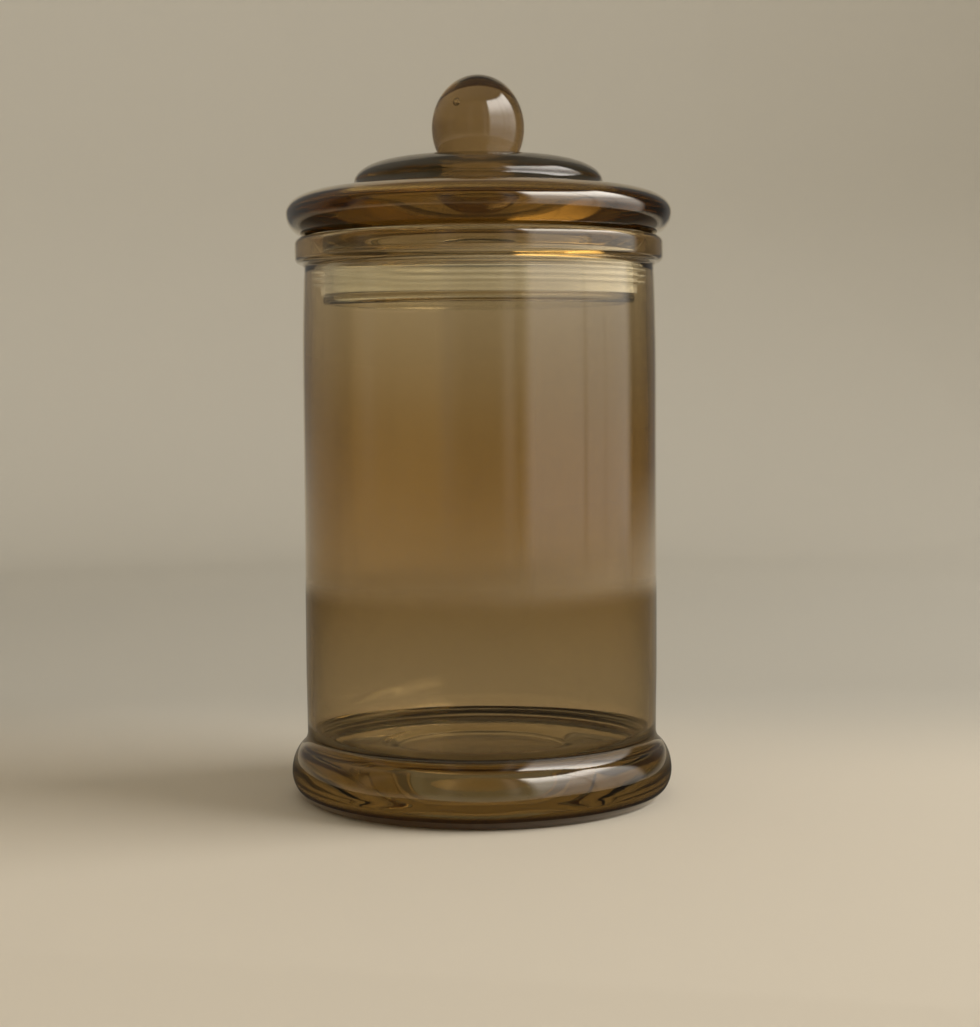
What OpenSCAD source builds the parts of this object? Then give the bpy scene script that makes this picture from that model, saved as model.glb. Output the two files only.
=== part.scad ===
// Glass apothecary jar with a knobbed lid and a ribbed sealing sleeve.
// The axis of the jar is Z, and the jar stands on the plane z = 0.
// Each piece is an outline, drawn as [radius, height], that is turned around the axis.

/* [Jar] */
// Height from the table to the top of the rim
jar_h = 157.5; // [140:0.5:200]
// Outer radius of the straight body
body_r = 49.85; // [46:0.05:56]
// Thickness of the body's wall
wall = 2.1; // [1.8:0.1:2.4]
// How far the bulging foot stands out from the body
foot_out = 4.45; // [4.2:0.05:4.8]
// Height at which the foot is widest
foot_z = 7.2; // [6.5:0.1:8]
// How far the rolled rim stands out from the body
rim_out = 1.85; // [1.6:0.05:2.2]
// Height of the rolled rim
rim_h = 7.3; // [6.5:0.1:8]
// How far the neck is drawn in under the rim
neck_in = 0.75; // [0.5:0.05:1]
// Height of the floor's middle above the table
floor_z = 14; // [12:0.5:16]

/* [Lid] */
// How far the flange stands out from the body
flange_out = 4.25; // [4:0.05:5]
// Height of the flange above its seat
flange_h = 13; // [12:0.5:14]
// Radius of the raised crown
crown_r = 34.8; // [32:0.1:36]
// Height of the crown above the flange
crown_rise = 8.7; // [8.3:0.1:9.5]
// Depth of the collar that hangs in the jar's neck
collar_h = 19.4; // [18:0.2:24]
// Thickness of the collar's wall
collar_wall = 2.9; // [2.5:0.1:3.5]

/* [Knob] */
// Radius of the ball
knob_r = 13.05; // [10:0.05:15]
// Half of the ball's height
knob_half_h = 14.8; // [13:0.1:18]
// Height of the ball's middle above the crown's top
knob_rise = 8.7; // [7:0.1:10]

/* [Seal] */
// Height of the sleeve
seal_h = 12.2; // [11:0.2:13]
// Thickness of the sleeve between its ribs
seal_t = 0.95; // [0.8:0.05:1.1]
// Number of ribs
seal_ribs = 5; // [3:1:6]
// Distance from one rib to the next
seal_pitch = 1.7; // [1.5:0.1:1.8]
// Thickness of a rib at its edge
rib_t = 0.5; // [0.4:0.1:0.7]

/* [Hidden] */
$fn = 180;

amber = [0.47, 0.36, 0.18, 0.55];
dark_amber = [0.36, 0.26, 0.12, 0.65];
pale = [0.82, 0.80, 0.72, 0.6];

// Steps in a long and in a short rounded stretch of an outline
ARC_STEPS = 10;
BEND_STEPS = 6;

// Radii of the body, the neck and the foot
body_in_r = body_r - wall;
neck_out_r = body_r - neck_in;
neck_in_r = neck_out_r - wall;
rim_r = body_r + rim_out;
foot_r = body_r + foot_out;
waist_r = body_r - 0.2;
// Flat ring that the jar rests on, around the hollow under the base
rest_out_r = body_r - 0.85;
rest_in_r = body_r - 4.35;
pushup_z = 4.6;
// The floor is round at its corner, slopes to a ring and is flat inside it
floor_corner_r = 5.2;
floor_corner_h = 5.4;
floor_r = body_in_r - floor_corner_r;
floor_ring_r = 30;
floor_disc_r = 24;
// The waist is the hollow between the foot and the body
waist_z = foot_z + 11.5;
// The body narrows to the neck above this height
shoulder_z = jar_h - 45;

// The lid rests this far above the rim
seat_gap = 0.3;
seat_z = jar_h + seat_gap;
flange_r = body_r + flange_out;
flange_mid_z = seat_z + 6.4;
flange_top_z = seat_z + flange_h;
crown_z = flange_top_z + crown_rise;
// The crown's shoulder is a quarter of an ellipse with these half axes
crown_round_r = 14.3;
crown_round_h = 6.5;
// The dome inside the lid
dome_z = flange_top_z - 9.5;
dome_top_r = 20;
crown_t = 5.8;
// The collar, with a shallow groove for the sleeve
collar_gap = 3.1;
collar_r = neck_in_r - collar_gap;
collar_in_r = collar_r - collar_wall;
collar_z = seat_z - collar_h;
collar_edge_r = 1.2;
groove_r = collar_r - 0.5;
groove_z0 = collar_z + 2.6;
groove_z1 = groove_z0 + seal_h + 0.2;

// Room between the sleeve and its groove, and between the ribs and the neck
seal_play = 0.05;
rib_play = 0.2;
seal_in_r = groove_r + seal_play;
seal_out_r = neck_in_r - rib_play;
seal_z = groove_z0 + 0.1;
first_rib_z = seal_z + (seal_h - (seal_ribs - 1) * seal_pitch) / 2;

knob_z = crown_z + knob_rise;
knob_base_angle = -asin(knob_rise / knob_half_h);

// Points along an ellipse with centre c and half axes r, from angle a0 to angle a1
function arc(c, r, a0, a1, n = ARC_STEPS) =
    [for (i = [0:n]) let (a = a0 + (a1 - a0) * i / n) [c.x + r.x * cos(a), c.y + r.y * sin(a)]];

// Points along a curve that leaves p towards q and arrives at s from q
function bend(p, q, s, n = BEND_STEPS) =
    [for (i = [0:n]) let (t = i / n) p * (1 - t) * (1 - t) + 2 * q * t * (1 - t) + s * t * t];

// Outside of the jar, upwards from the ring that it rests on
function jar_outside() = concat(
    bend([rest_out_r, 0], [rest_out_r + 1.5, 0], [rest_out_r + 2.3, 1]),
    bend([rest_out_r + 2.4, 1.1], [foot_r, 3.8], [foot_r, foot_z], ARC_STEPS),
    arc([foot_r - 5, foot_z], [5, 8.5], 6, 65),
    arc([waist_r + 5, waist_z], [5, 5], 229, 180, BEND_STEPS),
    bend([waist_r, waist_z + 1], [waist_r + 0.05, waist_z + 8], [body_r, waist_z + 16]),
    bend([body_r, shoulder_z], [body_r, shoulder_z + 22], [neck_out_r, jar_h - rim_h - 1]),
    arc([rim_r - 1.8, jar_h - rim_h + 1.9], [1.8, 1.9], -95, 0),
    arc([rim_r - 1.5, jar_h - 1.9], [1.5, 1.9], 0, 90)
);

// Inside of the jar, downwards from the rim to the middle of the floor
function jar_inside() = concat(
    arc([neck_in_r + 1.5, jar_h - 1.5], [1.5, 1.5], 90, 180),
    bend([neck_in_r, jar_h - 18], [neck_in_r, jar_h - 25], [body_in_r, shoulder_z]),
    arc([floor_r, floor_z + 7], [floor_corner_r, floor_corner_h], 0, -86),
    bend([floor_ring_r, floor_z + 1], [floor_disc_r + 2, floor_z + 0.9], [floor_disc_r, floor_z]),
    [[0, floor_z]]
);

// Hollow under the jar, from the middle outwards to the ring that it rests on
function jar_underside() = concat(
    [[0, pushup_z]],
    bend([floor_disc_r, pushup_z], [floor_disc_r + 2, pushup_z - 1], [floor_ring_r, pushup_z - 1.3]),
    bend([rest_in_r - 4, pushup_z - 2.2], [rest_in_r - 1, pushup_z - 2.6], [rest_in_r, 0])
);

// The body, its rolled rim and its foot are one piece of blown glass
module jar_body() {
    color(amber)
        rotate_extrude()
            polygon(concat(jar_outside(), jar_inside(), jar_underside()));
}

// Top of the lid, from the seat outwards, up over the flange and in to the crown's middle
function lid_top() = concat(
    arc([flange_r - 6.3, flange_mid_z], [6.3, 6.4], -90, 0),
    arc([flange_r - 9.5, flange_mid_z], [9.5, flange_h - 7], 6, 66),
    bend(
        [flange_r - 6, flange_top_z - 0.95],
        [flange_r - 9, flange_top_z - 0.2],
        [crown_r + 4, flange_top_z]
    ),
    bend([crown_r + 3, flange_top_z], [crown_r + 0.6, flange_top_z + 0.1], [crown_r, flange_top_z + 2.4]),
    arc([crown_r - crown_round_r, crown_z - crown_round_h], [crown_round_r, crown_round_h], 6, 90),
    [[0, crown_z]]
);

// Underside of the lid, from the middle of its dome out to the collar and up to the seat
function lid_underside() = concat(
    [[0, crown_z - crown_t]],
    arc([dome_top_r, dome_z], [collar_in_r - dome_top_r, crown_z - crown_t - dome_z], 90, 0),
    arc([collar_in_r + collar_edge_r, collar_z + collar_edge_r], [collar_edge_r, collar_edge_r], 180, 270),
    arc([collar_r - collar_edge_r, collar_z + collar_edge_r], [collar_edge_r, collar_edge_r], -90, 0),
    bend([collar_r, groove_z0 - 0.4], [groove_r, groove_z0 - 0.4], [groove_r, groove_z0]),
    bend([groove_r, groove_z1], [groove_r, groove_z1 + 0.4], [collar_r, groove_z1 + 0.4]),
    bend([collar_r, seat_z - 1], [collar_r, seat_z], [collar_r + 1, seat_z])
);

// The flange, the crown and the collar are one piece of pressed glass
module lid() {
    color(dark_amber)
        rotate_extrude()
            polygon(concat(lid_underside(), lid_top()));
}

// A solid glass ball, set on the crown while both were hot
module knob() {
    color(dark_amber)
        rotate_extrude()
            polygon(concat(
                [[0, crown_z]],
                arc([0, knob_z], [knob_r, knob_half_h], knob_base_angle, 90, 3 * ARC_STEPS)
            ));
}

// One rib of the sleeve, from inside the sleeve's wall to the edge that meets the neck
module seal_rib() {
    root_r = seal_in_r + seal_t / 2;
    lift = 0.35;
    polygon([
        [root_r, -rib_t],
        [seal_out_r, lift - rib_t / 2],
        [seal_out_r, lift + rib_t / 2],
        [root_r, rib_t]
    ]);
}

// The ribbed sleeve that grips the inside of the neck
module seal_ring() {
    color(pale)
        rotate_extrude() {
            translate([seal_in_r, seal_z])
                square([seal_t, seal_h]);
            for (i = [0:seal_ribs - 1])
                translate([0, first_rib_z + i * seal_pitch])
                    seal_rib();
        }
}

jar_body();
lid();
knob();
seal_ring();
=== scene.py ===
"""The looks of a lidded glass jar: lustre-coated amber glass, a knobbed lid and a milky ribbed sleeve.

Every piece of glass is an outline, [radius, height] in metres, turned around the Z axis.
"""
import math

import bpy
import numpy as np
from mathutils import Matrix, Vector


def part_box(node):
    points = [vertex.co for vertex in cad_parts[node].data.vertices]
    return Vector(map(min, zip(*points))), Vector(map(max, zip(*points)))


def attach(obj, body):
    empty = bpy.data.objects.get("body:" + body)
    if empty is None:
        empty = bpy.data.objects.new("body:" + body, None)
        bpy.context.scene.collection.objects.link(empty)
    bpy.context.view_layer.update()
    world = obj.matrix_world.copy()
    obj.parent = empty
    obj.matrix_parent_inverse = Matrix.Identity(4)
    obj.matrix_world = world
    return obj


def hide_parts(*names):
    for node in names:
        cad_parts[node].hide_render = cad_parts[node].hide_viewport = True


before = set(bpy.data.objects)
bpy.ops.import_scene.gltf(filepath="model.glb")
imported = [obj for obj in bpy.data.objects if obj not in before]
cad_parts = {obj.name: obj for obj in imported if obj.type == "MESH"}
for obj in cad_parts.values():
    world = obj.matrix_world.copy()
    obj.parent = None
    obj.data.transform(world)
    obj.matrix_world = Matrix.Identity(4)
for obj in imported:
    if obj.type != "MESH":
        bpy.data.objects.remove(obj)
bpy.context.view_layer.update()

MM = 0.001
# Points around each turned piece
TURNS = 224
rng = np.random.default_rng(11)

# ---------------------------------------------------------------- sizes from the parts in model.glb


def largest_radius(node):
    """How far a turned node reaches from the axis."""
    low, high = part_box(node)
    return max(high.x, high.y, -low.x, -low.y)


JAR_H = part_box("jar_body")[1].z
FOOT_R = largest_radius("jar_body")
COLLAR_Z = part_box("lid")[0].z
CROWN_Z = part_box("lid")[1].z
FLANGE_R = largest_radius("lid")
KNOB_R = largest_radius("knob")
KNOB_TOP_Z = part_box("knob")[1].z
SEAL_Z0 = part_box("seal_ring")[0].z
SEAL_Z1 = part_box("seal_ring")[1].z
SEAL_R = largest_radius("seal_ring")

# The jar
BODY_R = FOOT_R - 4.45 * MM
WALL = 2.1 * MM
NECK_OUT_R = BODY_R - 0.75 * MM
NECK_IN_R = NECK_OUT_R - WALL
BODY_IN_R = BODY_R - WALL
RIM_R = BODY_R + 1.85 * MM
RIM_H = 7.3 * MM
FOOT_Z = 7.2 * MM
WAIST_R = BODY_R - 0.2 * MM
WAIST_Z = FOOT_Z + 11.5 * MM
SHOULDER_Z = JAR_H - 45 * MM
REST_OUT_R = BODY_R - 0.85 * MM
REST_IN_R = BODY_R - 4.35 * MM
PUSHUP_Z = 4.6 * MM
FLOOR_Z = 14 * MM
FLOOR_CORNER_R = 5.2 * MM
FLOOR_CORNER_H = 5.4 * MM
FLOOR_R = BODY_IN_R - FLOOR_CORNER_R
FLOOR_RING_R = 30 * MM
FLOOR_DISC_R = 24 * MM

# The lid
SEAT_Z = COLLAR_Z + 19.4 * MM
FLANGE_H = 13 * MM
FLANGE_MID_Z = SEAT_Z + 6.4 * MM
FLANGE_TOP_Z = SEAT_Z + FLANGE_H
CROWN_R = 34.8 * MM
CROWN_T = 5.8 * MM
CROWN_ROUND_R = 14.3 * MM
CROWN_ROUND_H = 6.5 * MM
DOME_Z = FLANGE_TOP_Z - 9.5 * MM
DOME_TOP_R = 20 * MM
COLLAR_R = NECK_IN_R - 3.1 * MM
COLLAR_IN_R = COLLAR_R - 2.9 * MM
COLLAR_EDGE_R = 1.2 * MM
GROOVE_R = COLLAR_R - 0.5 * MM
GROOVE_Z0 = SEAL_Z0 - 0.1 * MM
GROOVE_Z1 = SEAL_Z1 + 0.1 * MM

# The knob
KNOB_HALF_H = 14.8 * MM
KNOB_Z = KNOB_TOP_Z - KNOB_HALF_H
KNOB_FILLET = 1.1 * MM

# The sleeve
SEAL_IN_R = GROOVE_R + 0.05 * MM
SEAL_T = 0.95 * MM
SEAL_RIBS = 5
SEAL_PITCH = 1.7 * MM
SEAL_EDGE_R = 0.3 * MM
RIB_TIP_R = 0.22 * MM

# ---------------------------------------------------------------- outlines


def arc(centre, half_axes, start, end, steps=26):
    """Points on an ellipse: centre + (rx cos a, rz sin a), with a running from start to end in degrees."""
    a = np.radians(np.linspace(start, end, steps))
    return np.stack([centre[0] + half_axes[0] * np.cos(a), centre[1] + half_axes[1] * np.sin(a)], 1)


def bend(p, q, s, steps=20):
    """Points on a curve that leaves p towards q and arrives at s from q: p(1-t)^2 + 2q t(1-t) + s t^2."""
    t = np.linspace(0, 1, steps)[:, None]
    return np.array(p) * (1 - t) ** 2 + 2 * np.array(q) * t * (1 - t) + np.array(s) * t * t


def line(p, s, steps=12):
    """Evenly spaced points from p to s."""
    t = np.linspace(0, 1, steps)[:, None]
    return np.array(p) * (1 - t) + np.array(s) * t


def joined(*stretches):
    """One outline from several, without points that repeat."""
    points = np.concatenate(stretches)
    step = np.linalg.norm(np.diff(points, axis=0), axis=1)
    return points[np.concatenate([[True], step > 0.01 * MM])]


def jar_outside():
    """Outside of the jar, upwards from the ring that it rests on."""
    m = MM
    return joined(
        bend([REST_OUT_R, 0], [REST_OUT_R + 1.5 * m, 0], [REST_OUT_R + 2.3 * m, 1 * m], 10),
        bend([REST_OUT_R + 2.4 * m, 1.1 * m], [FOOT_R, 3.8 * m], [FOOT_R, FOOT_Z], 26),
        arc([FOOT_R - 5 * m, FOOT_Z], [5 * m, 8.5 * m], 3, 65),
        arc([WAIST_R + 5 * m, WAIST_Z], [5 * m, 5 * m], 229, 180, 16),
        bend([WAIST_R, WAIST_Z + 1 * m], [WAIST_R + 0.05 * m, WAIST_Z + 8 * m],
             [BODY_R, WAIST_Z + 16 * m], 12),
        line([BODY_R, WAIST_Z + 17 * m], [BODY_R, SHOULDER_Z - 1 * m], 26),
        bend([BODY_R, SHOULDER_Z], [BODY_R, SHOULDER_Z + 22 * m],
             [NECK_OUT_R, JAR_H - RIM_H - 1 * m], 18),
        arc([RIM_R - 1.8 * m, JAR_H - RIM_H + 1.9 * m], [1.8 * m, 1.9 * m], -95, 0, 16),
        arc([RIM_R - 1.5 * m, JAR_H - 1.9 * m], [1.5 * m, 1.9 * m], 0, 90, 16),
    )


def jar_inside():
    """Inside of the jar, downwards from the rim to the middle of the floor."""
    m = MM
    return joined(
        arc([NECK_IN_R + 1.5 * m, JAR_H - 1.5 * m], [1.5 * m, 1.5 * m], 90, 180, 14),
        line([NECK_IN_R, JAR_H - 2.5 * m], [NECK_IN_R, JAR_H - 17 * m], 6),
        bend([NECK_IN_R, JAR_H - 18 * m], [NECK_IN_R, JAR_H - 25 * m], [BODY_IN_R, SHOULDER_Z], 16),
        line([BODY_IN_R, SHOULDER_Z - 1 * m], [BODY_IN_R, FLOOR_Z + 8 * m], 26),
        arc([FLOOR_R, FLOOR_Z + 7 * m], [FLOOR_CORNER_R, FLOOR_CORNER_H], 0, -86, 22),
        line([FLOOR_R - 1 * m, FLOOR_Z + 1.5 * m], [FLOOR_RING_R + 1 * m, FLOOR_Z + 1.05 * m], 8),
        bend([FLOOR_RING_R, FLOOR_Z + 1 * m], [FLOOR_DISC_R + 2 * m, FLOOR_Z + 0.9 * m],
             [FLOOR_DISC_R, FLOOR_Z], 12),
        line([FLOOR_DISC_R - 1 * m, FLOOR_Z], [0, FLOOR_Z], 12),
    )


def jar_underside():
    """Hollow under the jar, from the middle outwards to the ring that it rests on."""
    m = MM
    return joined(
        line([0, PUSHUP_Z], [FLOOR_DISC_R - 1 * m, PUSHUP_Z], 12),
        bend([FLOOR_DISC_R, PUSHUP_Z], [FLOOR_DISC_R + 2 * m, PUSHUP_Z - 1 * m],
             [FLOOR_RING_R, PUSHUP_Z - 1.3 * m], 12),
        line([FLOOR_RING_R + 1 * m, PUSHUP_Z - 1.37 * m], [REST_IN_R - 5 * m, PUSHUP_Z - 2.1 * m], 6),
        bend([REST_IN_R - 4 * m, PUSHUP_Z - 2.2 * m], [REST_IN_R - 1 * m, PUSHUP_Z - 2.6 * m],
             [REST_IN_R, 0], 14),
    )


def lid_top():
    """Top of the lid, from the seat outwards, up over the flange and in to the foot of the knob."""
    m = MM
    knob_foot = knob_side()[0]
    return joined(
        arc([FLANGE_R - 6.3 * m, FLANGE_MID_Z], [6.3 * m, 6.4 * m], -90, 0),
        arc([FLANGE_R - 9.5 * m, FLANGE_MID_Z], [9.5 * m, FLANGE_H - 7 * m], 3, 66),
        bend([FLANGE_R - 6 * m, FLANGE_TOP_Z - 0.95 * m], [FLANGE_R - 9 * m, FLANGE_TOP_Z - 0.2 * m],
             [CROWN_R + 4 * m, FLANGE_TOP_Z], 16),
        bend([CROWN_R + 3.6 * m, FLANGE_TOP_Z], [CROWN_R + 0.8 * m, FLANGE_TOP_Z + 0.1 * m],
             [CROWN_R + 0.1 * m, FLANGE_TOP_Z + 2.3 * m], 16),
        arc([CROWN_R - CROWN_ROUND_R, CROWN_Z - CROWN_ROUND_H], [CROWN_ROUND_R + 0.1 * m, CROWN_ROUND_H],
            4, 90, 30),
        line([CROWN_R - 15 * m, CROWN_Z], [knob_foot[0] + 1.3 * m, CROWN_Z], 8),
        bend([knob_foot[0] + 1.2 * m, CROWN_Z], [knob_foot[0] - 0.1 * m, CROWN_Z], knob_foot, 8),
    )


def knob_side():
    """The ball, from just above the crown to its top."""
    start = -math.degrees(math.asin((KNOB_Z - CROWN_Z - KNOB_FILLET) / KNOB_HALF_H))
    return arc([0, KNOB_Z], [KNOB_R, KNOB_HALF_H], start, 90, 64)


def lid_underside():
    """Underside of the lid, from the middle of its dome out to the collar and up to the seat."""
    m = MM
    dome_r, dome_h = COLLAR_IN_R - DOME_TOP_R, CROWN_Z - CROWN_T - DOME_Z
    edge = [COLLAR_EDGE_R, COLLAR_EDGE_R]
    return joined(
        line([0, CROWN_Z - CROWN_T], [DOME_TOP_R - 1 * m, CROWN_Z - CROWN_T], 12),
        arc([DOME_TOP_R, DOME_Z], [dome_r, dome_h], 90, 0, 34),
        line([COLLAR_IN_R, DOME_Z - 1 * m], [COLLAR_IN_R, COLLAR_Z + COLLAR_EDGE_R + 1 * m], 10),
        arc([COLLAR_IN_R + COLLAR_EDGE_R, COLLAR_Z + COLLAR_EDGE_R], edge, 180, 270, 10),
        arc([COLLAR_R - COLLAR_EDGE_R, COLLAR_Z + COLLAR_EDGE_R], edge, -90, 0, 10),
        bend([COLLAR_R, GROOVE_Z0 - 0.4 * m], [GROOVE_R, GROOVE_Z0 - 0.4 * m], [GROOVE_R, GROOVE_Z0], 6),
        line([GROOVE_R, GROOVE_Z0 + 1 * m], [GROOVE_R, GROOVE_Z1 - 1 * m], 8),
        bend([GROOVE_R, GROOVE_Z1], [GROOVE_R, GROOVE_Z1 + 0.4 * m], [COLLAR_R, GROOVE_Z1 + 0.4 * m], 6),
        bend([COLLAR_R, SEAT_Z - 1 * m], [COLLAR_R, SEAT_Z], [COLLAR_R + 1 * m, SEAT_Z], 8),
        line([COLLAR_R + 1.3 * m, SEAT_Z], [FLANGE_R - 6.6 * m, SEAT_Z], 4),
    )


def sleeve_outline():
    """The sleeve's section, closed: its inner wall down, then its outer wall up over the ribs."""
    m = MM
    edge, tip = [SEAL_EDGE_R, SEAL_EDGE_R], [RIB_TIP_R, RIB_TIP_R]
    wall_r = SEAL_IN_R + SEAL_T
    first = (SEAL_Z0 + SEAL_Z1 - (SEAL_RIBS - 1) * SEAL_PITCH) / 2
    ribs = []
    for i in range(SEAL_RIBS):
        z = first + i * SEAL_PITCH
        ribs.append(bend([wall_r, z - 0.55 * m], [wall_r + 0.6 * m, z - 0.2 * m],
                         [SEAL_R - 0.2 * m, z + 0.1 * m], 5))
        ribs.append(arc([SEAL_R - RIB_TIP_R, z + 0.33 * m], tip, -80, 80, 6))
        ribs.append(bend([SEAL_R - 0.25 * m, z + 0.54 * m], [wall_r + 0.5 * m, z + 0.4 * m],
                         [wall_r, z + 0.75 * m], 5))
    return joined(
        arc([SEAL_IN_R + SEAL_EDGE_R, SEAL_Z1 - SEAL_EDGE_R], edge, 90, 180, 5),
        line([SEAL_IN_R, SEAL_Z1 - 1 * m], [SEAL_IN_R, SEAL_Z0 + 1 * m], 8),
        arc([SEAL_IN_R + SEAL_EDGE_R, SEAL_Z0 + SEAL_EDGE_R], edge, 180, 270, 5),
        arc([wall_r - SEAL_EDGE_R, SEAL_Z0 + SEAL_EDGE_R], edge, -90, 0, 5),
        *ribs,
        arc([wall_r - SEAL_EDGE_R, SEAL_Z1 - SEAL_EDGE_R], edge, 0, 90, 5),
    )


# ---------------------------------------------------------------- meshes


def ring_quads(rings, columns, closed=False):
    """Faces between neighbouring rings of points: [this, next around, up and next around, up]."""
    i = np.arange(rings if closed else rings - 1)[:, None]
    j = np.arange(columns)[None, :]
    up, on = (i + 1) % rings, (j + 1) % columns
    quads = [i * columns + j, i * columns + on, up * columns + on, up * columns + j]
    return np.stack(quads, 2).reshape(-1, 4).tolist()


def turned_surface(outline, closed=False, sway=None):
    """Vertices and faces of an outline turned around Z: x = r cos a, y = r sin a, with r + sway(a, z).

    An outline that starts and ends on the axis is closed by a point at each end, and a closed
    outline by joining its last ring to its first.
    """
    body = outline if closed else outline[1:-1]
    rings = len(body)
    a = np.linspace(0, 2 * np.pi, TURNS, endpoint=False)[None, :]
    r, z = body[:, :1], np.repeat(body[:, 1:], TURNS, 1)
    r = r + (sway(a, z) if sway else 0 * a)
    verts = np.stack([r * np.cos(a), r * np.sin(a), z], 2).reshape(-1, 3)
    faces = ring_quads(rings, TURNS, closed)
    if not closed:
        ends = np.array([[0, 0, outline[0, 1]], [0, 0, outline[-1, 1]]])
        first, last = len(verts), len(verts) + 1
        verts = np.concatenate([verts, ends])
        j, on = np.arange(TURNS), (np.arange(TURNS) + 1) % TURNS
        top = (rings - 1) * TURNS
        faces += np.stack([on, j, np.full(TURNS, first)], 1).tolist()
        faces += np.stack([top + j, top + on, np.full(TURNS, last)], 1).tolist()
    return verts, faces


def bubble_surface(centre, radius, stretch=1.0, turns=18, rings=9):
    """A small ball whose faces point to its middle, because it is air inside the glass.

    Its points are centre + radius (cos b cos a, cos b sin a, stretch sin b).
    """
    a = np.linspace(0, 2 * np.pi, turns, endpoint=False)[None, :]
    b = np.linspace(-np.pi / 2, np.pi / 2, rings + 2)[1:-1, None]
    x, y, z = np.cos(b) * np.cos(a), np.cos(b) * np.sin(a), np.sin(b) * stretch + 0 * a
    verts = np.stack([x, y, z], 2).reshape(-1, 3)
    verts = np.concatenate([verts, [[0, 0, -stretch], [0, 0, stretch]]]) * radius + np.array(centre)
    i, j = np.arange(rings - 1)[:, None], np.arange(turns)[None, :]
    on = (j + 1) % turns
    quads = np.stack([i * turns + j, (i + 1) * turns + j, (i + 1) * turns + on, i * turns + on], 2)
    j, on, top = np.arange(turns), (np.arange(turns) + 1) % turns, (rings - 1) * turns
    low = np.stack([j, on, np.full(turns, rings * turns)], 1)
    high = np.stack([top + on, top + j, np.full(turns, rings * turns + 1)], 1)
    return verts, quads.reshape(-1, 4).tolist() + low.tolist() + high.tolist()


def together(*parts):
    """One list of vertices and one of faces from several (vertices, faces) pairs."""
    verts, faces, start = [], [], 0
    for v, f in parts:
        verts.append(v)
        faces += [[k + start for k in face] for face in f]
        start += len(v)
    return np.concatenate(verts), faces


def make_piece(name, verts, faces, material, **at_points):
    """A smooth mesh object. Each further argument is an attribute, with one number for each vertex."""
    mesh = bpy.data.meshes.new(name)
    mesh.from_pydata(verts.tolist(), [], faces)
    for label, values in at_points.items():
        attribute = mesh.attributes.new(label, "FLOAT", "POINT")
        attribute.data.foreach_set("value", values.astype(np.float32))
    mesh.shade_smooth()
    mesh.update()
    mesh.validate()
    mesh.materials.append(material)
    piece = bpy.data.objects.new(name, mesh)
    bpy.context.scene.collection.objects.link(piece)
    return piece


def smooth_step(x, low, high):
    """0 below low, 1 above high and a soft S between: t t (3 - 2 t), with t from 0 to 1."""
    t = np.clip((x - low) / (high - low), 0, 1)
    return t * t * (3 - 2 * t)


def bump_at(x, centre, width):
    """A soft hump, 1 at its centre: e to the power of minus the square of (x - centre) / width."""
    return np.exp(-((x - centre) / width) ** 2)


# ---------------------------------------------------------------- node groups and materials


def new_group(name, inputs, outputs):
    """An empty shader node group with named sockets; returns it with its input and output nodes."""
    group = bpy.data.node_groups.new(name, "ShaderNodeTree")
    for label, kind, value in inputs:
        socket = group.interface.new_socket(name=label, in_out="INPUT", socket_type=kind)
        if value is not None:
            socket.default_value = value
    for label, kind in outputs:
        group.interface.new_socket(name=label, in_out="OUTPUT", socket_type=kind)
    return group, group.nodes.new("NodeGroupInput"), group.nodes.new("NodeGroupOutput")


def put(tree, kind, links=None, **settings):
    """Adds a node. links maps inputs to sockets or values; settings are the node's own properties."""
    node = tree.nodes.new(kind)
    for key, value in settings.items():
        setattr(node, key, value)
    for key, value in (links or {}).items():
        if isinstance(value, bpy.types.NodeSocket):
            tree.links.new(value, node.inputs[key])
        else:
            node.inputs[key].default_value = value
    return node


def mixed(tree, factor, a, b):
    """A colour between a and b."""
    node = put(tree, "ShaderNodeMix", data_type="RGBA")
    for slot, value in ((0, factor), (6, a), (7, b)):
        if isinstance(value, bpy.types.NodeSocket):
            tree.links.new(value, node.inputs[slot])
        else:
            node.inputs[slot].default_value = value
    return node.outputs[2]


def spread(tree, value, low, high, to_low, to_high):
    """value, taken from low..high to to_low..to_high and held at the ends."""
    links = {"Value": value, "From Min": low, "From Max": high, "To Min": to_low, "To Max": to_high}
    return put(tree, "ShaderNodeMapRange", links).outputs["Result"]


def product(tree, a, b):
    """a times b."""
    return put(tree, "ShaderNodeMath", {0: a, 1: b}, operation="MULTIPLY").outputs[0]


def noise(tree, vector, scale, detail):
    """A noise value about 0.5."""
    links = {"Vector": vector, "Scale": scale, "Detail": detail}
    return put(tree, "ShaderNodeTexNoise", links).outputs["Fac"]


def stretched(tree, vector, scale):
    """Coordinates scaled by a different number each way."""
    return put(tree, "ShaderNodeMapping", {"Vector": vector, "Scale": scale}).outputs["Vector"]


def at_point(tree, label):
    """A number that the mesh carries at each of its points."""
    return put(tree, "ShaderNodeAttribute", attribute_name=label).outputs["Fac"]


def lustre_group():
    """Fired lustre: a tint over clear glass, a little uneven, with its share of mirror."""
    group, given, out = new_group(
        "lustre",
        [("Vector", "NodeSocketVector", None), ("Coated", "NodeSocketFloat", 1.0),
         ("Tint", "NodeSocketColor", (1, 1, 1, 1)), ("Deep Tint", "NodeSocketColor", (1, 1, 1, 1)),
         ("Glass", "NodeSocketColor", (1, 1, 1, 1)), ("Sheen", "NodeSocketFloat", 0.5)],
        [("Color", "NodeSocketColor"), ("Coat", "NodeSocketFloat")],
    )
    broad = noise(group, given.outputs["Vector"], 17.0, 1.0)
    uneven = spread(group, broad, 0.35, 0.65, 0.0, 1.0)
    tint = mixed(group, uneven, given.outputs["Tint"], given.outputs["Deep Tint"])
    colour = mixed(group, given.outputs["Coated"], given.outputs["Glass"], tint)
    group.links.new(colour, out.inputs["Color"])
    share = spread(group, uneven, 0.0, 1.0, 0.86, 1.0)
    mirror = product(group, given.outputs["Coated"], given.outputs["Sheen"])
    group.links.new(product(group, mirror, share), out.inputs["Coat"])
    return group


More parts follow.
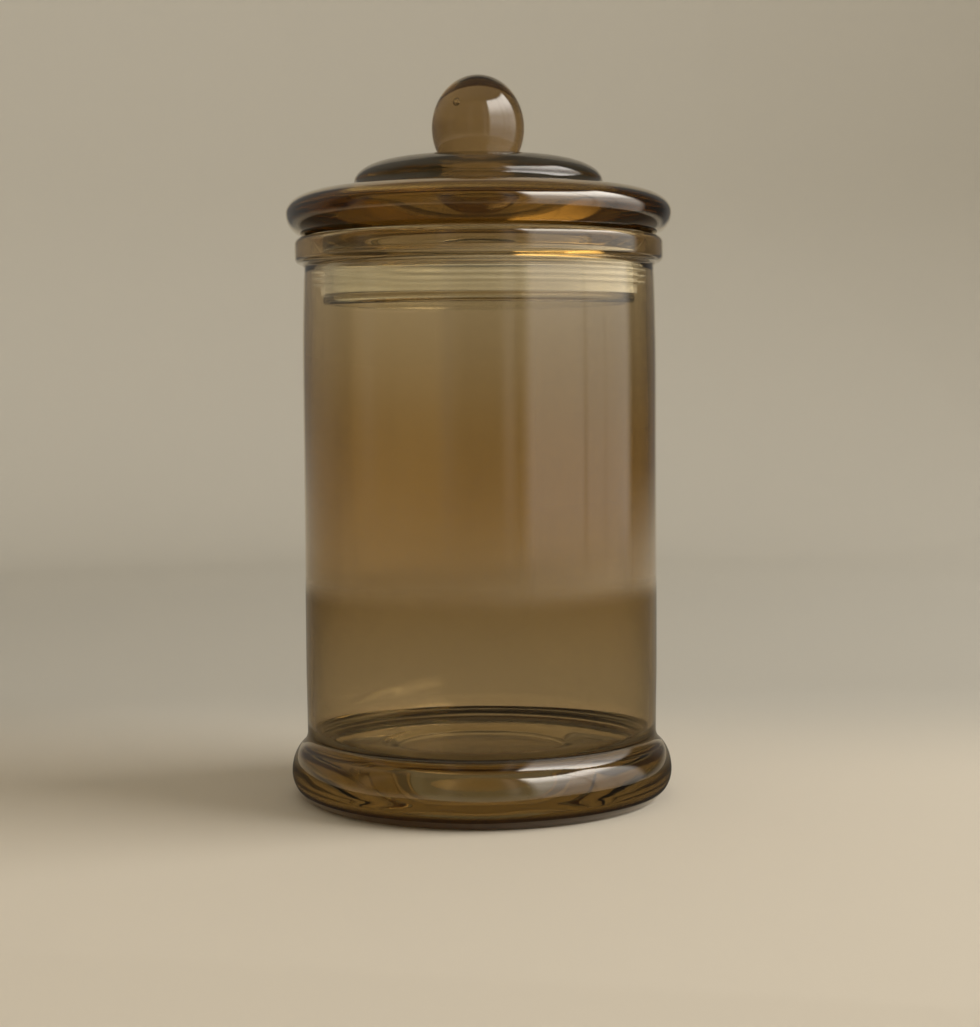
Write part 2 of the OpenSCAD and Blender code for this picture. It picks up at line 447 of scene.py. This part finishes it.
def handling_group():
    """Where fingers and cloths have been: faint duller patches and fine streaks from wiping."""
    group, given, out = new_group(
        "handling",
        [("Vector", "NodeSocketVector", None), ("Clean", "NodeSocketFloat", 0.0),
         ("Dull", "NodeSocketFloat", 0.05)],
        [("Roughness", "NodeSocketFloat")],
    )
    patches = noise(group, given.outputs["Vector"], 34.0, 2.0)
    wipes_and_lit_ring = stretched(group, given.outputs["Vector"], (420.0, 420.0, 60.0))
    streaks = noise(group, wipes_and_lit_ring, 1.0, 1.0)
    where = spread(group, patches, 0.48, 0.70, 0.0, 1.0)
    grain = spread(group, streaks, 0.35, 0.70, 0.35, 1.0)
    rough = put(group, "ShaderNodeMix", {0: product(group, where, grain)}, data_type="FLOAT")
    group.links.new(given.outputs["Clean"], rough.inputs[2])
    group.links.new(given.outputs["Dull"], rough.inputs[3])
    group.links.new(rough.outputs[0], out.inputs["Roughness"])
    return group


def blown_group():
    """The skin of blown glass: long soft draw lines up the wall and slow dents."""
    group, given, out = new_group(
        "blown_skin",
        [("Vector", "NodeSocketVector", None), ("Lines", "NodeSocketFloat", 1.0),
         ("Dents", "NodeSocketFloat", 1.0)],
        [("Height", "NodeSocketFloat")],
    )
    drawn = stretched(group, given.outputs["Vector"], (150.0, 150.0, 7.0))
    lines = product(group, noise(group, drawn, 1.0, 1.0), given.outputs["Lines"])
    dents = product(group, noise(group, given.outputs["Vector"], 60.0, 0.0), given.outputs["Dents"])
    height = put(group, "ShaderNodeMath", {0: lines, 1: dents}, operation="ADD")
    group.links.new(height.outputs[0], out.inputs["Height"])
    return group


LUSTRE = lustre_group()
HANDLING = handling_group()
BLOWN = blown_group()

GLASS_IOR = 1.5
LUSTRE_IOR = 1.65
SILICONE_IOR = 1.41
CLEAR_GLASS = (0.97, 0.98, 0.95, 1)
# The dark tint that painted shade pulls the glass's colour towards, standing in for contact shadow and
# shaded glass
PAINTED_SHADE_TINT = (0.022, 0.009, 0.002, 1)
# What light loses on its way through the glass
GLASS_DEPTH_COLOUR = (0.62, 0.50, 0.12, 1)
GLASS_DEPTH_DENSITY = 20.0
# Painted glow: where a ray has been mirrored inside the glass more often than this, the glass gives off a
# glow, standing in for room light that reaches it by longer paths
MIRRORINGS = 3.5
PAINTED_GLOW_COLOUR = (0.18, 0.20, 0.26, 1)


def new_material(name):
    """A material with a Principled node and Object coordinates; returns it with both and its tree."""
    material = bpy.data.materials.new(name)
    material.use_nodes = True
    tree = material.node_tree
    place = tree.nodes.new("ShaderNodeTexCoord").outputs["Object"]
    return material, tree, tree.nodes["Principled BSDF"], place


def lustre_glass(name, stain, glaze, lines, dull):
    """Glass with a stain and a glaze on its outside.

    The mesh says at each point how much it is coated, glazed, dented and hazy, how much painted shade
    darkens its colour, and how much painted glow it gives off. stain and glaze are the tints of light that
    passes and of what lies under the coat.
    """
    material, tree, surface, place = new_material(name)
    lustre = put(tree, "ShaderNodeGroup", node_tree=LUSTRE)
    tree.links.new(place, lustre.inputs["Vector"])
    tree.links.new(at_point(tree, "coated"), lustre.inputs["Coated"])
    tree.links.new(at_point(tree, "glazed"), lustre.inputs["Sheen"])
    lustre.inputs["Tint"].default_value = (*stain, 1)
    lustre.inputs["Deep Tint"].default_value = (*[0.9 * c for c in stain], 1)
    lustre.inputs["Glass"].default_value = CLEAR_GLASS
    # Painted shade: the colour is pulled towards that dark tint where the mesh asks for it
    stain_and_painted_shade = mixed(tree, at_point(tree, "painted_shade"), lustre.outputs["Color"], PAINTED_SHADE_TINT)
    tree.links.new(stain_and_painted_shade, surface.inputs["Base Color"])
    tree.links.new(lustre.outputs["Coat"], surface.inputs["Coat Weight"])
    surface.inputs["Coat Tint"].default_value = (*glaze, 1)
    surface.inputs["Coat Roughness"].default_value = 0.03
    surface.inputs["Coat IOR"].default_value = LUSTRE_IOR

    touched = put(tree, "ShaderNodeGroup", node_tree=HANDLING)
    tree.links.new(place, touched.inputs["Vector"])
    tree.links.new(at_point(tree, "hazy"), touched.inputs["Clean"])
    touched.inputs["Dull"].default_value = dull
    tree.links.new(touched.outputs["Roughness"], surface.inputs["Roughness"])

    skin = put(tree, "ShaderNodeGroup", node_tree=BLOWN)
    tree.links.new(place, skin.inputs["Vector"])
    tree.links.new(at_point(tree, "dented"), skin.inputs["Dents"])
    skin.inputs["Lines"].default_value = lines
    bump = put(tree, "ShaderNodeBump", {"Height": skin.outputs["Height"], "Distance": 0.00002})
    bump.inputs["Strength"].default_value = 1.0
    tree.links.new(bump.outputs["Normal"], surface.inputs["Normal"])

    # Painted light: the glass glows after many mirrorings inside it, as far as the mesh's mask for painted
    # glow allows
    mirrored = put(tree, "ShaderNodeLightPath").outputs["Glossy Depth"]
    often = put(tree, "ShaderNodeMath", {0: mirrored, 1: MIRRORINGS}, operation="GREATER_THAN")
    inner = product(tree, often.outputs[0], at_point(tree, "painted_glow"))
    tree.links.new(mixed(tree, inner, (0, 0, 0, 1), PAINTED_GLOW_COLOUR), surface.inputs["Emission Color"])
    surface.inputs["Emission Strength"].default_value = 1.0

    surface.inputs["Transmission Weight"].default_value = 1.0
    surface.inputs["IOR"].default_value = GLASS_IOR
    through = {"Color": GLASS_DEPTH_COLOUR, "Density": GLASS_DEPTH_DENSITY}
    depth = put(tree, "ShaderNodeVolumeAbsorption", through)
    tree.links.new(depth.outputs["Volume"], tree.nodes["Material Output"].inputs["Volume"])
    return material


def milky_silicone():
    """Soft translucent rubber: clear seen straight on, cloudier along the flanks of its ribs."""
    material, tree, surface, place = new_material("milky_silicone")
    cloud = spread(tree, noise(tree, place, 90.0, 3.0), 0.3, 0.7, 0.0, 1.0)
    colour = mixed(tree, cloud, (0.84, 0.82, 0.72, 1), (0.94, 0.93, 0.86, 1))
    tree.links.new(colour, surface.inputs["Base Color"])
    grain = noise(tree, place, 900.0, 2.0)
    tree.links.new(spread(tree, grain, 0.3, 0.7, 0.24, 0.38), surface.inputs["Roughness"])
    bump = put(tree, "ShaderNodeBump", {"Height": grain, "Strength": 0.4, "Distance": 0.00003})
    tree.links.new(bump.outputs["Normal"], surface.inputs["Normal"])
    flank = put(tree, "ShaderNodeLayerWeight", {"Blend": 0.35})
    tree.links.new(spread(tree, flank.outputs["Facing"], 0.1, 0.9, 0.04, 0.27), surface.inputs["Alpha"])
    surface.inputs["IOR"].default_value = SILICONE_IOR
    return material


# ---------------------------------------------------------------- the jar's pieces


def blown_sway(strength, foot_strength):
    """Slow swelling of a blown wall: strength times a sum of waves around and up the jar.

    It fades at the rim and the waist. The foot only sways inwards, by foot_strength times
    (sag - 1) / 2, where sag is a sum of waves between -1 and 1.
    """
    def sway(a, z):
        up = z / JAR_H
        free = smooth_step(z, 22 * MM, 45 * MM) * (1 - smooth_step(z, 118 * MM, 136 * MM))
        wave = np.sin(3 * a + 2.1 * up + 0.4) + 0.6 * np.sin(5 * a - 4.7 * up + 1.9)
        wave = wave + 0.5 * np.sin(2 * a + 6 * up)
        low = 1 - smooth_step(z, 12 * MM, 19 * MM)
        turn = z / FOOT_Z
        sag = 0.4 * np.sin(4 * a + 1.3 * turn + 2.6) + 0.35 * np.sin(7 * a - 1.9 * turn)
        sag = sag + 0.25 * np.sin(11 * a + turn)
        return strength * free * wave + 0.5 * foot_strength * low * (sag - 1)
    return sway


def seed_bubbles(count, middle_z, low, high, reach_low, reach_high, largest):
    """Tiny bubbles at random places in a ring of thick glass: low to high from middle_z, in millimetres."""
    seeds = []
    for _ in range(count):
        a, up = rng.uniform(0, 2 * np.pi), middle_z + rng.uniform(low, high) * MM
        reach = rng.uniform(reach_low, reach_high) * MM
        centre = [reach * math.cos(a), reach * math.sin(a), up]
        seeds.append(bubble_surface(centre, rng.uniform(0.12, largest) * MM))
    return seeds


def jar_marks(verts, skin_count):
    """What the jar's glass says at each point: first the skin_count points of its skin, then the bubbles."""
    r, z = np.hypot(verts[:, 0], verts[:, 1]), verts[:, 2]
    side = np.degrees(np.arctan2(verts[:, 0], -verts[:, 1]))
    # The lustre covers the outside, the base and the rim, and fades just inside the mouth
    wall_middle = np.where(z > SHOULDER_Z, NECK_IN_R + 1 * MM, BODY_IN_R + 1 * MM)
    outer = (r > wall_middle) | (z < PUSHUP_Z + 0.5 * MM)
    in_mouth = smooth_step(z, JAR_H - 3 * MM, JAR_H - 0.5 * MM)
    coated = np.where(outer, 1.0, in_mouth)
    coated[skin_count:] = 0.0
    # It is thickest around the middle of the body and thins out up to the neck. It also thins towards the
    # bottom of the body, a painted lift standing in for the lit table seen through the lower glass, and is
    # thicker again on the rim.
    thick = 0.87 + 0.05 * bump_at(z, 96 * MM, 30 * MM) - 0.24 * (1 - smooth_step(z, 26 * MM, 78 * MM))
    thick -= 0.37 * smooth_step(z, 80 * MM, 158 * MM)
    thick += 0.14 * smooth_step(z, JAR_H - RIM_H - 2 * MM, JAR_H - RIM_H + 1 * MM)
    # Under the base the coat is thinned on a ring round the middle disc: a painted lighter ring standing in
    # for the window's light caught in the floor's ring
    under = (z < PUSHUP_Z + 0.5 * MM) & (r < REST_IN_R - 3 * MM)
    wipes_and_lit_ring = smooth_step(r, FLOOR_DISC_R - 0.5 * MM, FLOOR_DISC_R + 1 * MM)
    wipes_and_lit_ring = wipes_and_lit_ring * (1 - smooth_step(r, 37 * MM, 42 * MM))
    thick = np.where(under, 1 - 0.95 * wipes_and_lit_ring, thick)
    # Painted shade: the foot's lowest edge is darkened for the dark contact shadow where it meets the table,
    # and the underside a little, away from the lighter ring, for the shaded hollow beneath the jar
    painted_shade = (1 - smooth_step(z, 3.2 * MM, 5.2 * MM)) * (r > REST_IN_R - 3 * MM) * coated
    painted_shade = np.where(under, 0.12 * (1 - wipes_and_lit_ring), painted_shade)
    # The mould chilled a hazy crescent on the floor's ring
    on_floor = (z > FLOOR_Z - 1 * MM) & (z < FLOOR_Z + 3 * MM)
    puckered = np.sin(np.radians(23 * side) + 900 * r) * np.sin(np.radians(31 * side) - 2600 * r)
    puckered = 0.7 + 0.3 * puckered
    chilled = 0.45 * bump_at(r, 27.5 * MM, 2.4 * MM) * bump_at(side, -105, 52) * puckered * on_floor
    return {
        "coated": coated * thick,
        "glazed": np.ones(len(verts)),
        "dented": 0.6 + 6.0 * (1 - smooth_step(z, 16 * MM, 24 * MM)),
        "painted_shade": painted_shade,
        "hazy": chilled,
        # Painted glow in the thick foot
        "painted_glow": 1 - smooth_step(z, 22 * MM, 30 * MM),
    }


def make_jar():
    """The jar: a turned wall, a ringed floor and a hollow base, with a few bubbles in the thick foot."""
    outline = joined(jar_underside(), jar_outside(), jar_inside())
    skin = turned_surface(outline, sway=blown_sway(0.03 * MM, 0.28 * MM))
    verts, faces = together(skin, *seed_bubbles(7, 0, 5, 10, 44, 50, 0.3))
    marks = jar_marks(verts, len(skin[0]))
    jar = make_piece("jar_glass", verts, faces, AMBER_GLASS, **marks)
    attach(jar, "jar")
    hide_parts("jar_body")


def lid_marks(verts, skin_count):
    """What the lid's glass says at each point: first the skin_count points of its skin, then the bubbles."""
    r, z = np.hypot(verts[:, 0], verts[:, 1]), verts[:, 2]
    # The skin's rings start under the lid, and its last two points close it at the middle, below and above
    rings_under = len(lid_underside()) - 2
    outside = np.zeros(len(verts), bool)
    outside[:skin_count] = np.arange(skin_count) >= rings_under * TURNS
    outside[skin_count - 2] = False
    on_knob = z > CROWN_Z + 1 * MM
    on_crown = (z > FLANGE_TOP_Z + 0.5 * MM) & (r < CROWN_R + 2 * MM)
    crown_haze = 0.12 * smooth_step(z, FLANGE_TOP_Z + 0.2 * MM, FLANGE_TOP_Z + 2 * MM)
    lowest = 1 - smooth_step(z, FLANGE_MID_Z - 5 * MM, FLANGE_MID_Z - 1 * MM)
    return {
        "coated": np.where(outside, np.where(on_knob, 0.8, np.where(on_crown, 0.88, 1.0)), 0.0),
        "glazed": np.where(on_knob, 0.4, np.where(on_crown, 0.12, 1.0)),
        "dented": np.where(on_knob, 0.8, 2.2),
        # Painted shade on the lowest part of the flange
        "painted_shade": 0.25 * lowest * outside,
        "hazy": crown_haze * outside * ~on_knob,
        # Painted glow, more of it on the crown
        "painted_glow": np.where(on_crown, 0.25, 0.10),
    }


def make_lid():
    """The lid and its ball in one piece of glass, because the ball is melted on to the crown."""
    outline = joined(lid_underside(), lid_top(), knob_side())
    outline[-1, 0] = 0
    skin = turned_surface(outline)
    knob_bubble = bubble_surface([-4.6 * MM, -3.2 * MM, KNOB_Z + 5.6 * MM], 0.85 * MM, 1.15)
    verts, faces = together(skin, knob_bubble, *seed_bubbles(6, FLANGE_MID_Z, -3, 3, 46, 50, 0.25))
    marks = lid_marks(verts, len(skin[0]))
    lid = make_piece("lid_glass", verts, faces, DARK_AMBER_GLASS, **marks)
    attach(lid, "lid")
    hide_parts("lid", "knob")


def make_sleeve():
    """The ribbed sleeve on the lid's collar."""
    verts, faces = turned_surface(sleeve_outline(), closed=True)
    sleeve = make_piece("seal_sleeve", verts, faces, MILKY_SILICONE)
    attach(sleeve, "seal")
    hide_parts("seal_ring")


AMBER_GLASS = lustre_glass(
    "amber_lustre_glass", stain=(0.475, 0.285, 0.043), glaze=(0.88, 0.80, 0.65), lines=1.0, dull=0.07)
DARK_AMBER_GLASS = lustre_glass(
    "dark_amber_lustre_glass", stain=(0.40, 0.235, 0.06), glaze=(0.84, 0.76, 0.60), lines=0.2, dull=0.06)
MILKY_SILICONE = milky_silicone()

make_jar()
make_lid()
make_sleeve()

# ---------------------------------------------------------------- stage, light and camera

TABLE_COLOUR = (0.705, 0.645, 0.54, 1)
WALL_COLOUR = (0.515, 0.49, 0.428, 1)
# Half the width of the change from table to wall, and how far behind the jar it lies
WALL_EDGE = 0.09
BOWL_TURNS = 96
# The floor is flat to this radius and turns up in a quarter circle
BOWL_FLAT_R = 0.70
BOWL_CORNER_R = 0.25
BOWL_R = 0.95
BOWL_H = 1.5
# Distances from the axis to the window and to the room's other cards
WINDOW_R = 0.56
ROOM_R = 0.594
JAMB_R = 0.60
CEILING_R = 0.90
CEILING_Z = 0.96
CARD_ROWS = 60


def matte(name, near_colour, far_colour, edge, softness):
    """A plain matte finish that goes from one tone to another across the line y = edge."""
    material, tree, surface, place = new_material(name)
    depth = put(tree, "ShaderNodeSeparateXYZ", {0: place}).outputs["Y"]
    span = {"Value": depth, "From Min": edge - softness, "From Max": edge + softness}
    along = put(tree, "ShaderNodeMapRange", span, interpolation_type="SMOOTHSTEP").outputs["Result"]
    tree.links.new(mixed(tree, along, near_colour, far_colour), surface.inputs["Base Color"])
    surface.inputs["Roughness"].default_value = 0.85
    surface.inputs["Specular IOR Level"].default_value = 0.2
    return material


def make_bowl():
    """The floor and a backdrop all round it: a disc that turns up into a wall."""
    outline = joined(
        line([0, 0], [BOWL_FLAT_R, 0], 14),
        arc([BOWL_FLAT_R, BOWL_CORNER_R], [BOWL_CORNER_R, BOWL_CORNER_R], -90, 0, 20),
        line([BOWL_R, BOWL_CORNER_R + 0.02], [BOWL_R, BOWL_H], 10),
    )
    a = np.linspace(0, 2 * np.pi, BOWL_TURNS, endpoint=False)[None, :]
    r, z = outline[1:, :1], np.repeat(outline[1:, 1:], BOWL_TURNS, 1)
    verts = np.stack([r * np.cos(a), r * np.sin(a), z], 2).reshape(-1, 3)
    verts = np.concatenate([verts, [[0, 0, 0]]])
    j = np.arange(BOWL_TURNS)
    on = (j + 1) % BOWL_TURNS
    fan = np.stack([on, j, np.full(BOWL_TURNS, len(verts) - 1)], 1).tolist()
    quads = ring_quads(len(outline) - 1, BOWL_TURNS)
    finish = matte("pale_floor", TABLE_COLOUR, WALL_COLOUR, WALL_EDGE, WALL_EDGE)
    bowl = make_piece("pale_floor", verts, quads + fan, finish)
    bowl.visible_shadow = False


def card_finish():
    """A glowing card that only reflections see. Those inside thick glass see a quarter of it.

    The mesh says at each point how bright it is, as glow, and how much of it is there, as cover.
    """
    material = bpy.data.materials.new("studio_card")
    material.use_nodes = True
    tree = material.node_tree
    tree.nodes.remove(tree.nodes["Principled BSDF"])
    path = put(tree, "ShaderNodeLightPath")
    seen = put(tree, "ShaderNodeMath", {0: path.outputs["Glossy Depth"], 1: 0.5}, operation="GREATER_THAN")
    crossed = {0: path.outputs["Transmission Depth"], 1: 2.0, 2: 1.5}
    inside = put(tree, "ShaderNodeMath", crossed, operation="COMPARE")
    kept = spread(tree, inside.outputs[0], 0.0, 1.0, 1.0, 0.25)
    share = product(tree, product(tree, seen.outputs[0], at_point(tree, "cover")), kept)
    lit = {"Color": (1.0, 0.96, 0.91, 1), "Strength": at_point(tree, "glow")}
    light = put(tree, "ShaderNodeEmission", lit)
    clear = put(tree, "ShaderNodeBsdfTransparent")
    blend = put(tree, "ShaderNodeMixShader", {0: share, 1: clear.outputs[0], 2: light.outputs[0]})
    tree.links.new(blend.outputs[0], tree.nodes["Material Output"].inputs["Surface"])
    return material


def only_mirrored(card):
    """Leaves a card to reflections: it is not seen straight on, lights nothing and throws no shadow."""
    card.visible_camera = False
    card.visible_diffuse = False
    card.visible_shadow = False


def make_card(name, path, tall, glow, cover, material):
    """A standing card: the plan path carried up to a height.

    glow and cover are functions of (azimuth in degrees, height).
    """
    z = np.linspace(0.0, tall, CARD_ROWS)[:, None]
    count = len(path)
    x, y = path[None, :, 0] + 0 * z, path[None, :, 1] + 0 * z
    verts = np.stack([x, y, z + 0 * x], 2).reshape(-1, 3)
    i, j = np.arange(CARD_ROWS - 1)[:, None], np.arange(count - 1)[None, :]
    faces = np.stack([i * count + j, i * count + j + 1, (i + 1) * count + j + 1, (i + 1) * count + j], 2)
    azimuth = np.degrees(np.arctan2(verts[:, 0], -verts[:, 1]))
    card = make_piece(name, verts, faces.reshape(-1, 4).tolist(), material,
                      glow=glow(azimuth, verts[:, 2]), cover=cover(azimuth, verts[:, 2]))
    only_mirrored(card)


def around(radius, start, end, steps=120):
    """Plan points on a circle, from one azimuth to another: (r sin a, -r cos a)."""
    a = np.radians(np.linspace(start, end, steps))
    return np.stack([radius * np.sin(a), -radius * np.cos(a)], 1)


def make_room():
    """What the glass mirrors: a dark room in front, a tall window at the right and dim corners past both."""
    finish = card_finish()

    def room_glow(azimuth, z):
        streaks = 0.13 * bump_at(azimuth, -19, 5) + 0.32 * bump_at(azimuth, 18, 4)
        streaks = streaks + 0.12 * bump_at(azimuth, -72, 6)
        corner = 0.11 * (1 - smooth_step(azimuth, -112, -84))
        return 0.03 + corner + streaks * (1 - smooth_step(z, 0.5, 0.8))

    def room_cover(azimuth, z):
        sides = smooth_step(azimuth, -160, -150) * (1 - smooth_step(azimuth, 22, 32))
        return sides * smooth_step(z, 0.0, 0.12)

    front = np.concatenate([line([0.27, -0.42], [-0.42, -0.42], 80)[:-1], around(ROOM_R, -45, -160, 100)])
    make_card("dark_room_card", front, 1.3, room_glow, room_cover, finish)

    def window_glow(azimuth, z):
        up = np.degrees(np.arctan2(z, WINDOW_R))
        bright = 1.0 + 1.2 * smooth_step(up, 12, 30) + 5.5 * smooth_step(up, 32, 50)
        mullion = 1 - 0.30 * bump_at(azimuth, 68, 1.6) - 0.12 * bump_at(azimuth, 84, 1.5)
        return bright * mullion * (1 - 0.12 * smooth_step(azimuth, 60, 100))

    def window_cover(azimuth, z):
        up = np.degrees(np.arctan2(z, WINDOW_R))
        sides = smooth_step(azimuth, 24, 34) * (1 - smooth_step(azimuth, 102, 112))
        return sides * smooth_step(z, 0.0, 0.05) * (1 - smooth_step(up, 54, 58))

    make_card("window_card", around(WINDOW_R, 24, 112), 1.0, window_glow, window_cover, finish)

    def jamb_cover(azimuth, z):
        sides = smooth_step(azimuth, 102, 112) * (1 - smooth_step(azimuth, 150, 162))
        return sides * smooth_step(z, 0.0, 0.08)

    def jamb_glow(azimuth, z):
        return 0.04 + 0.09 * smooth_step(azimuth, 128, 150)

    make_card("jamb_card", around(JAMB_R, 102, 162, 80), 1.3, jamb_glow, jamb_cover, finish)
    make_ceiling(finish)
    make_table_tone(finish)


def make_table_tone(material):
    """The table as the glass mirrors it, dimmer than it is: a flat ring, (r sin a, -r cos a)."""
    steps = 120
    azimuth = np.linspace(-180, 180, steps + 1)[None, :-1]
    r = np.concatenate([np.linspace(0.0525, 0.16, 24), np.linspace(0.17, 0.62, 36)])[:, None]
    a = np.radians(azimuth)
    verts = np.stack([r * np.sin(a), -r * np.cos(a), 0.0006 + 0 * r * a], 2).reshape(-1, 3)
    faces = ring_quads(len(r), steps)
    side = np.abs(azimuth + 0 * r).reshape(-1)
    reach = (r + 0 * azimuth).reshape(-1)
    cover = 0.95 - 0.40 * smooth_step(side, 115, 160)
    cover = cover * (1 - smooth_step(reach, 0.5, 0.62))
    tone = make_piece("table_tone_card", verts, faces, material, glow=0.025 + 0 * reach, cover=cover)
    only_mirrored(tone)


def make_ceiling(material):
    """A dim ceiling: a disc whose points are (r cos a, r sin a), clear at its edge."""
    steps = 64
    a = np.linspace(0, 2 * np.pi, steps, endpoint=False)[None, :]
    r = np.linspace(0.02, CEILING_R, 24)[:, None]
    verts = np.stack([r * np.cos(a), r * np.sin(a), CEILING_Z + 0 * r * a], 2).reshape(-1, 3)
    reach = np.hypot(verts[:, 0], verts[:, 1])
    ceiling = make_piece("ceiling_card", verts, ring_quads(len(r), steps), material,
                         glow=0.10 + 0 * reach, cover=1 - smooth_step(reach, 0.7, CEILING_R))
    only_mirrored(ceiling)


def aimed_light(name, size, energy, colour, azimuth, reach, height, aim_z):
    """A square soft light beside the jar, turned to a point on the axis and left out of reflections."""
    light = bpy.data.lights.new(name, "AREA")
    light.size, light.energy, light.color = size, energy, colour
    lamp = bpy.data.objects.new(name, light)
    a = math.radians(azimuth)
    lamp.location = (reach * math.sin(a), -reach * math.cos(a), height)
    lamp.rotation_euler = (Vector((0, 0, aim_z)) - lamp.location).to_track_quat("-Z", "Y").to_euler()
    lamp.visible_camera = False
    lamp.visible_glossy = False
    return lamp


def make_lights():
    """One big soft light at the right and an even fill from all round."""
    lamp = aimed_light("window_light", size=1.3, energy=26.0, colour=(1.0, 0.97, 0.93),
                       azimuth=84, reach=1.35, height=0.78, aim_z=0.06)
    lamp.data.shape = "RECTANGLE"
    lamp.data.size_y = 1.1
    bpy.context.scene.collection.objects.link(lamp)
    make_sleeve_light()
    world = bpy.data.worlds.new("room")
    world.use_nodes = True
    world.node_tree.nodes["Background"].inputs["Color"].default_value = (1.0, 0.965, 0.90, 1)
    world.node_tree.nodes["Background"].inputs["Strength"].default_value = 0.45
    bpy.context.scene.world = world


def make_sleeve_light():
    """The window's light on the sleeve, which reaches it through the clear part of the neck."""
    lamp = aimed_light("sleeve_light", size=0.5, energy=24.0, colour=(1.0, 0.94, 0.82),
                       azimuth=54, reach=0.8, height=0.34, aim_z=0.145)
    lamp.visible_transmission = False
    bpy.context.scene.collection.objects.link(lamp)
    lit = bpy.data.collections.new("lit_through_the_neck")
    lit.objects.link(bpy.data.objects["seal_sleeve"])
    lamp.light_linking.receiver_collection = lit
    lamp.light_linking.blocker_collection = lit


def make_camera():
    """A camera in front, a little over half the jar's height, looking slightly down."""
    data = bpy.data.cameras.new("camera")
    data.sensor_width = 36
    data.lens = 70.45
    looks_down, rolls = 4.05, -0.36
    camera = bpy.data.objects.new("camera", data)
    camera.location = (0.0027, -0.570, 0.1202)
    tilt = Matrix.Rotation(math.radians(90 - looks_down), 3, "X")
    camera.rotation_euler = (tilt @ Matrix.Rotation(math.radians(rolls), 3, "Z")).to_euler()
    bpy.context.scene.collection.objects.link(camera)
    bpy.context.scene.camera = camera


make_bowl()
make_room()
make_lights()
make_camera()
bpy.context.scene.view_settings.view_transform = "Standard"
